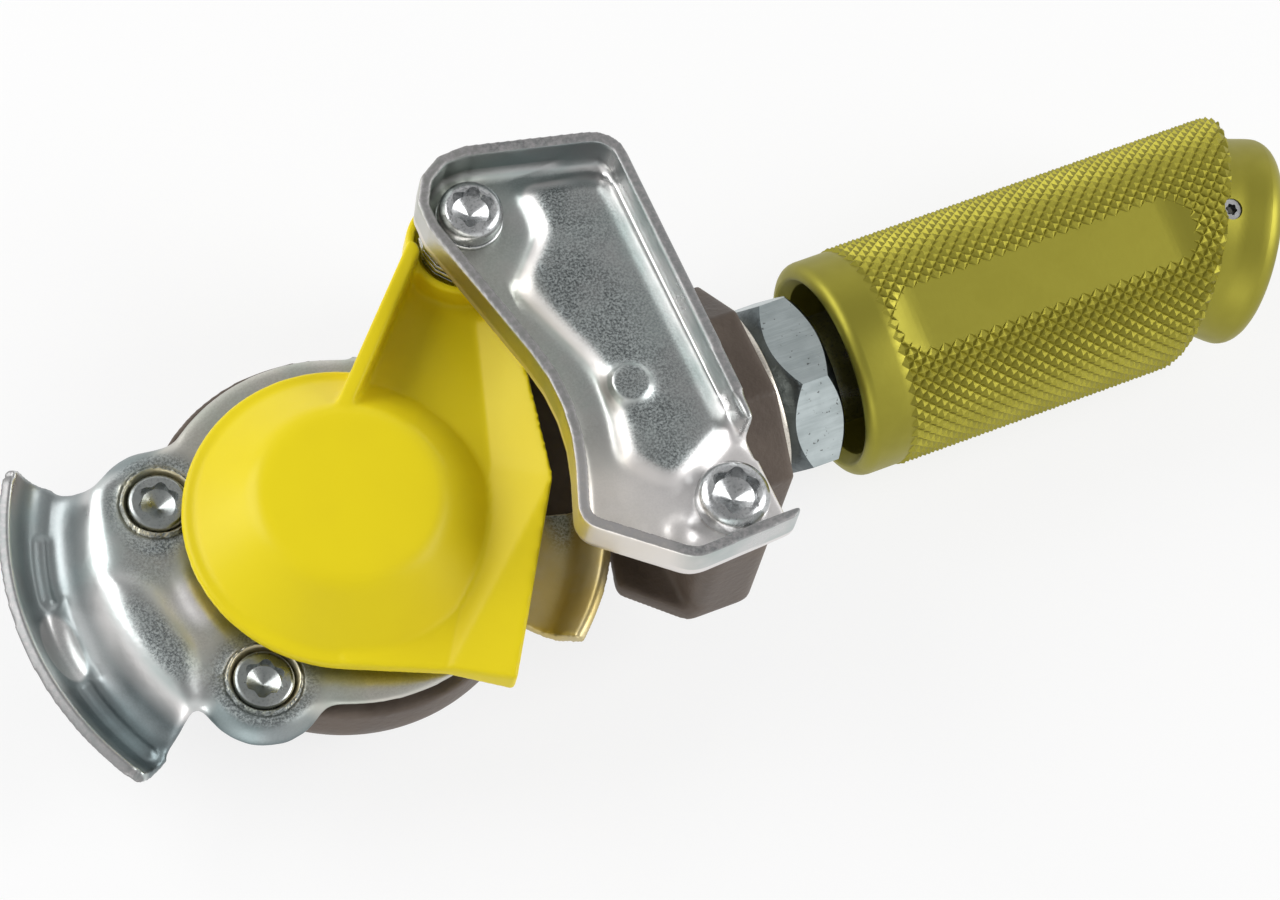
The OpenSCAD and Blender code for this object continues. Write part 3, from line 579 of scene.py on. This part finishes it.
def soften(bm, verts, rounds):
    for k in range(rounds):
        bmesh.ops.smooth_vert(bm, verts=verts, factor=0.5, use_axis_x=True, use_axis_y=True, use_axis_z=True)


def press(mesh, melt, rounds, strike=None, roundsAfter=0):
    bm = bmesh.new()
    bm.from_mesh(mesh)
    chosen = [v for v in bm.verts if melt(v.co)]
    soften(bm, chosen, rounds)
    if strike:
        for v in bm.verts:
            v.co += strike(v.co)
    soften(bm, chosen, roundsAfter)
    bm.to_mesh(mesh)
    bm.free()


def softCopy(node, name, voxel, rounds, finish):
    # the CAD solid as one skin with its edges rubbed soft
    bm = bmesh.new()
    bm.from_mesh(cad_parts[node].data)
    bmesh.ops.remove_doubles(bm, verts=bm.verts, dist=weldGap)
    piece = newPiece(name, bm, finishes[finish])
    skin = piece.modifiers.new("skin", "REMESH")
    skin.mode = "VOXEL"
    skin.voxel_size = voxel * mm
    rub = piece.modifiers.new("rub", "SMOOTH")
    rub.factor = 0.5
    rub.iterations = rounds
    bakeModifiers(piece)
    piece.data.name = name
    piece.data.shade_smooth()
    if node in pressings:
        press(piece.data, **pressings[node])
    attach(piece, "cover" if node == "cover" else "head")
    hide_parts(node)
    return piece


# voxel in millimetres, and how many rounds rub the edges
softPieces = {
    "body": {"name": "cast_body", "voxel": 0.48, "rounds": 6, "finish": "cast"},
    "guide_plate": {"name": "pressed_guide_plate", "voxel": 0.38, "rounds": 9, "finish": "guide"},
    "claw_plate": {"name": "pressed_claw_plate", "voxel": 0.34, "rounds": 6, "finish": "claw"},
    "cover": {"name": "moulded_cover", "voxel": 0.34, "rounds": 13, "finish": "cover"},
}
for node, made in softPieces.items():
    print("soft copy:", made["name"], len(softCopy(node, **made).data.polygons), "faces")

# pieces that stay as their CAD solids: the finish, and the small bevel that breaks the edges, in millimetres
plainNodes = {
    "guide_screws": ("darkScrew", 0.12), "hinge_screw": ("screw", 0.12), "claw_screw": ("screw", 0.12),
    "hinge_washer": ("screw", 0.25), "hinge_sleeve": ("screw", 0.25), "cover_spring": ("screw", 0.25),
    "port_washer": ("washer", 0.25), "lock_nut": ("nut", 0.25), "stud": ("screw", 0.25),
    "grip_set_screw": ("dull", 0.12), "seal_ring": ("rubber", 0.25), "stud_seal": ("rubber", 0.25),
}
bevelFrom = math.radians(35)  # edges that bend by less stay as they are
for node, (finish, bevel) in plainNodes.items():
    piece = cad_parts[node]
    dress(piece, finishes[finish])
    join = piece.modifiers.new("join", "WELD")
    join.merge_threshold = weldGap
    edge = piece.modifiers.new("edge", "BEVEL")
    edge.width = bevel * mm
    edge.segments = 2
    edge.limit_method = "ANGLE"
    edge.angle_limit = bevelFrom
    edge.harden_normals = True
print("plain pieces dressed:", len(plainNodes))

# knurled grip, turned about x in millimetres, then rolled and set on the port's axis
grip = {
    "x": 74.7, "axisZ": -7.0, "rollDeg": 21.2, "sharpDeg": 24.0, "mergeGap": 0.0005,
    "collarR": 15.9, "collarL": 5.6, "collarFillet": 1.8, "shoulderL": 0.8, "shoulderIn": 0.6,
    "recessR": 12.7, "recessL": 9.0, "recessFillet": 0.8, "boreR": 8.05, "boreL": 16.0,
    "mouthR": 13.9, "mouthL": 1.6, "mouthInFillet": 0.4, "mouthFillet": 0.7,
    "knurlR": 16.25, "knurlDepth": 0.64, "pitch": 2.02, "around": 50,
    "cutX": 134.8, "tiltDeg": 29.0, "endEase": 1.3, "endDrop": 0.5,
    "fieldTurnDeg": -9.0, "fieldOff": 15.0, "fieldX": 83.3, "fieldL": 46.0,
    "fieldEndR": 14.0, "fieldEndIn": 3.7, "cutterSteps": 8, "cutterOver": 0.4, "cutterW": 40.0,
    "neckR": 14.4, "neckX": 2.6, "neckBend": 9.0, "beadR": 15.0, "beadL": 3.0, "beadBend": 7.0,
    "tailRoot": 3.6, "tailL": 8.9, "tailOff": 1.0, "tailFillet": 2.6, "tailSteps": 96, "tailBendSteps": 7,
    "portR": 7.25, "portL": 12.0, "portFillet": 0.6, "passageR": 5.0,
    "setScrewX": 0.6, "setScrewTurnDeg": -7.0, "setScrewR": 1.55, "setScrewFloor": 12.0, "drillOver": 2.0,
}


def bent(path, steps=6):
    # corners of (x, r, radius) points turned into short arcs
    done = [Vector(path[0][:2])]
    for before, corner, after in zip(path, path[1:], path[2:]):
        a, b, c = (Vector(p[:2]) for p in (before, corner, after))
        if len(corner) < 3:
            done.append(b)
            continue
        into, away = (b - a).normalized(), (c - b).normalized()
        turn = math.atan2(into.cross(away), into.dot(away))
        first = b - into * corner[2] * math.tan(abs(turn) / 2)
        spoke = Vector((into.y, -into.x)) * corner[2] * (1 if turn > 0 else -1)
        for k in range(steps + 1):
            angle = turn * k / steps
            done.append(first - spoke + Vector((spoke.x * math.cos(angle) - spoke.y * math.sin(angle),
                                                spoke.x * math.sin(angle) + spoke.y * math.cos(angle))))
    done.append(Vector(path[-1][:2]))
    return done


def lathe(bm, path, steps):
    # spins a run of (x, r) points about the x axis
    verts = [bm.verts.new((x, 0.0, r)) for x, r in path]
    edges = [bm.edges.new(pair) for pair in zip(verts, verts[1:])]
    bmesh.ops.spin(bm, geom=verts + edges, cent=(0, 0, 0), axis=(1, 0, 0), angle=math.tau, steps=steps,
                   use_merge=True)


def knurledBarrel(g, cut, tailAxis):
    # collar, pyramids and oblique end as one closed skin
    bm = bmesh.new()
    half = g["pitch"] / 2
    around = g["around"] * 2
    startX = g["x"] + g["collarL"] + g["shoulderL"]
    rings = int((g["cutX"] + g["knurlR"] - startX) / half)
    recessEnd = g["x"] + g["recessL"]
    boreEnd = recessEnd + g["boreL"]
    front = bent([(boreEnd, 0.0), (boreEnd, g["boreR"]), (recessEnd, g["boreR"]),
                  (recessEnd, g["recessR"], g["recessFillet"]),
                  (g["x"] + g["mouthL"], g["recessR"], g["mouthInFillet"]),
                  (g["x"], g["mouthR"], g["mouthFillet"]),
                  (g["x"], g["collarR"], g["collarFillet"]), (startX - g["shoulderIn"], g["collarR"])])
    run = [Vector((startX + i * half, g["knurlR"])) for i in range(rings)]
    lathe(bm, front + run, around)
    bmesh.ops.remove_doubles(bm, verts=bm.verts, dist=g["mergeGap"])
    valleys = set()
    for v in bm.verts:
        ring = round((v.co.x - startX) / half)
        r = math.hypot(v.co.y, v.co.z)
        if ring < 0 or r < (g["collarR"] + g["knurlR"]) / 2:
            continue
        spoke = round(math.atan2(v.co.y, v.co.z) / math.tau * around)
        low = (ring + spoke) % 2
        ease = min(g["endEase"], max(0.0, g["endEase"] - (cut - v.co).dot(tailAxis)))
        top = g["collarR"] if ring == 0 else g["knurlR"] - g["knurlDepth"] * low
        shrink = (top - ease * ease * g["endDrop"]) / r
        v.co.y *= shrink
        v.co.z *= shrink
        if low:
            valleys.add(v)
    for face in bm.faces[:]:
        bottoms = [v for v in face.verts if v in valleys]
        if len(face.verts) == 4 and len(bottoms) == 2:
            bmesh.utils.face_split(face, bottoms[0], bottoms[1])
    whole = bm.verts[:] + bm.edges[:] + bm.faces[:]
    sawn = bmesh.ops.bisect_plane(bm, geom=whole, plane_co=cut, plane_no=tailAxis, clear_outer=True)
    rim = [e for e in sawn["geom_cut"] if isinstance(e, bmesh.types.BMEdge)]
    bmesh.ops.contextual_create(bm, geom=rim)
    bmesh.ops.recalc_face_normals(bm, faces=bm.faces)
    return bm


def fieldCutter(g):
    # bar that mills the bare field, running out on an arc at both ends
    turn = math.radians(g["fieldTurnDeg"])
    up = Vector((0, -math.sin(turn), math.cos(turn)))
    side = Vector((0, math.cos(turn), math.sin(turn)))
    widest = math.acos(1 - (g["knurlR"] + g["cutterOver"] - g["fieldOff"]) / g["fieldEndR"])
    first = g["fieldX"] + g["fieldEndIn"]
    last = g["fieldX"] + g["fieldL"] - g["fieldEndIn"]
    angles = [widest * k / g["cutterSteps"] for k in range(g["cutterSteps"] + 1)]
    arc = [(g["fieldEndR"] * math.sin(a), g["fieldOff"] + g["fieldEndR"] * (1 - math.cos(a))) for a in angles]
    section = [(first - x, h) for x, h in reversed(arc)] + [(last + x, h) for x, h in arc]
    bm = bmesh.new()
    start = side * g["cutterW"] / -2
    face = bm.faces.new([bm.verts.new(Vector((x, 0, 0)) + up * h + start) for x, h in section])
    bar = bmesh.ops.extrude_face_region(bm, geom=[face])["geom"]
    farEnd = [v for v in bar if isinstance(v, bmesh.types.BMVert)]
    bmesh.ops.translate(bm, verts=farEnd, vec=side * g["cutterW"])
    bmesh.ops.recalc_face_normals(bm, faces=bm.faces)
    return bm


def tailTube(g, tailFrame):
    # neck, bead and hose port, turned about the tail's own axis
    end, portEnd = g["tailL"], g["tailL"] - g["portL"]
    path = bent([(-g["tailRoot"], g["passageR"]), (-g["tailRoot"], g["neckR"]),
                 (g["neckX"], g["neckR"], g["neckBend"]), (end - g["beadL"], g["beadR"], g["beadBend"]),
                 (end, g["beadR"], g["tailFillet"]), (end, g["portR"], g["portFillet"]),
                 (portEnd, g["portR"]), (portEnd, g["passageR"])], g["tailBendSteps"])
    bm = bmesh.new()
    lathe(bm, path + [path[0]], g["tailSteps"])
    bmesh.ops.remove_doubles(bm, verts=bm.verts, dist=g["mergeGap"])
    bmesh.ops.recalc_face_normals(bm, faces=bm.faces)
    bmesh.ops.transform(bm, matrix=tailFrame, verts=bm.verts)
    return bm


def setScrewDrill(g, tailFrame):
    middle = g["knurlR"] + g["drillOver"]
    turn = Matrix.Rotation(math.radians(g["setScrewTurnDeg"]), 4, "X")
    bm = bmesh.new()
    bmesh.ops.create_cone(bm, cap_ends=True, segments=32, radius1=g["setScrewR"], radius2=g["setScrewR"],
                          depth=2 * (middle - g["setScrewFloor"]))
    bmesh.ops.translate(bm, verts=bm.verts, vec=(g["setScrewX"], 0, middle))
    bmesh.ops.transform(bm, matrix=tailFrame @ turn, verts=bm.verts)
    return bm


def joined(base, operation, bm):
    # the base piece with another shape added to it or cut from it
    tool = newPiece("grip_tool", bm, finishes["grip"])
    step = base.modifiers.new("step", "BOOLEAN")
    step.operation = operation
    step.solver = "EXACT"
    step.object = tool
    bakeModifiers(base)
    bpy.data.objects.remove(tool)


def knurledGrip(g):
    tilt = math.radians(g["tiltDeg"])
    tailAxis = Vector((math.cos(tilt), -math.sin(tilt), 0))
    cut = Vector((g["cutX"], 0, 0))
    tailOffset = Matrix.Translation((0, g["tailOff"], 0))
    tailFrame = Matrix.Translation(cut) @ Matrix.Rotation(-tilt, 4, "Z") @ tailOffset
    piece = newPiece("knurled_grip", knurledBarrel(g, cut, tailAxis), finishes["grip"])
    joined(piece, "DIFFERENCE", fieldCutter(g))
    joined(piece, "UNION", tailTube(g, tailFrame))
    joined(piece, "DIFFERENCE", setScrewDrill(g, tailFrame))
    onPort = Matrix.Translation((0, 0, g["axisZ"])) @ Matrix.Rotation(math.radians(g["rollDeg"]), 4, "X")
    piece.data.transform(Matrix.Scale(mm, 4) @ onPort)
    piece.data.name = "knurled_grip"
    dress(piece, finishes["grip"])
    piece.data.shade_smooth()
    piece.data.set_sharp_from_angle(angle=math.radians(g["sharpDeg"]))
    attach(piece, "head")
    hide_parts("grip")
    return piece


print("grip:", len(knurledGrip(grip).data.polygons), "faces")

# floor and surroundings: white where seen or mirrored, dimmer overhead, with the object's shadow kept
studio = {"floorHalf": 3.0, "floorBelow": 0.0002, "floorGlow": 0.8, "ambient": 0.5,
          "overhead": (0.35, 0.88), "overheadDim": 0.52}
white = rgb(1.0, 1.0, 1.0)


def seenOrMirrored(start):
    rays = start.node("LightPath", out="Is Camera Ray")
    seen = rays
    for kind in ("Is Glossy Ray", "Is Transmission Ray"):
        seen = seen.maths("MAXIMUM", seen, rays.other(kind))
    return seen


def paleFloor():
    bm = bmesh.new()
    bmesh.ops.create_grid(bm, x_segments=1, y_segments=1, size=studio["floorHalf"])
    bmesh.ops.translate(bm, verts=bm.verts, vec=(0, 0, cadBox[0][2] - studio["floorBelow"]))
    matt = {"Metallic": 0.0, "Roughness": 0.9, "Specular IOR Level": 0.1, "Base Color": rgb(0.93, 0.93, 0.93)}
    finish, shader, start = newFinish("pale_floor", matt)
    glow = start.node("Emission", None, {"Color": white, "Strength": 1.0})
    both = start.node("MixShader", None, {0: seenOrMirrored(start) * studio["floorGlow"],
                                          1: Wire(start.tree, shader.outputs[0]), 2: glow})
    output = next(n for n in start.tree.nodes if n.type == "OUTPUT_MATERIAL")
    feed(output, {"Surface": both})
    floor = newPiece("floor", bm, finish)


def studioWorld():
    world = bpy.data.worlds.new("studio")
    world.use_nodes = True
    start = Wire(world.node_tree)
    overhead = start.node("TexCoord", out="Generated").axes()[2].smooth(*studio["overhead"])
    level = studio["ambient"] + seenOrMirrored(start) * (1 - studio["ambient"])
    backdrop = next(n for n in world.node_tree.nodes if n.type == "BACKGROUND")
    backdrop.inputs["Color"].default_value = white
    feed(backdrop, {"Strength": level * (1 - overhead * studio["overheadDim"])})
    return world


paleFloor()
scene.world = studioWorld()
scene.view_settings.view_transform = "Standard"

print("scene ready")
